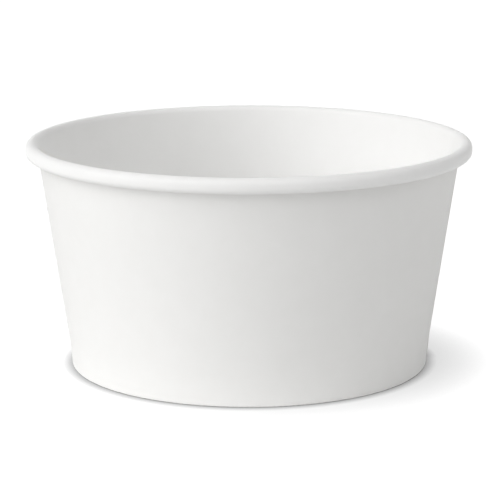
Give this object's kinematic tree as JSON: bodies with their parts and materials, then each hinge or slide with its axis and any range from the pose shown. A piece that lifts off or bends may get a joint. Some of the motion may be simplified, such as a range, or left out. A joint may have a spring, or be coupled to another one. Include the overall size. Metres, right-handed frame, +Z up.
{
  "type": "paper bowl",
  "caption": "Round tapered paper food bowl with a rolled rim, a lapped side seam and a recessed bottom held in a folded foot.",
  "frame": {"origin": "on the table under the middle of the bowl, in the plane of the foot", "axes": "+Z up the axis of the bowl, +X towards the lapped side seam, which lies 1 to 9 degrees round from it towards +Y"},
  "size_m": [0.115, 0.115, 0.0587],
  "materials": {
    "wall_board": "matte white board outside, thin satin coating inside and over the rolled rim",
    "bottom_board": "matte white board below, thin satin coating on the upper face"
  },
  "bodies": {
    "root": {"side_wall": "wall_board", "base_disc": "bottom_board"}
  },
  "joints": []
}
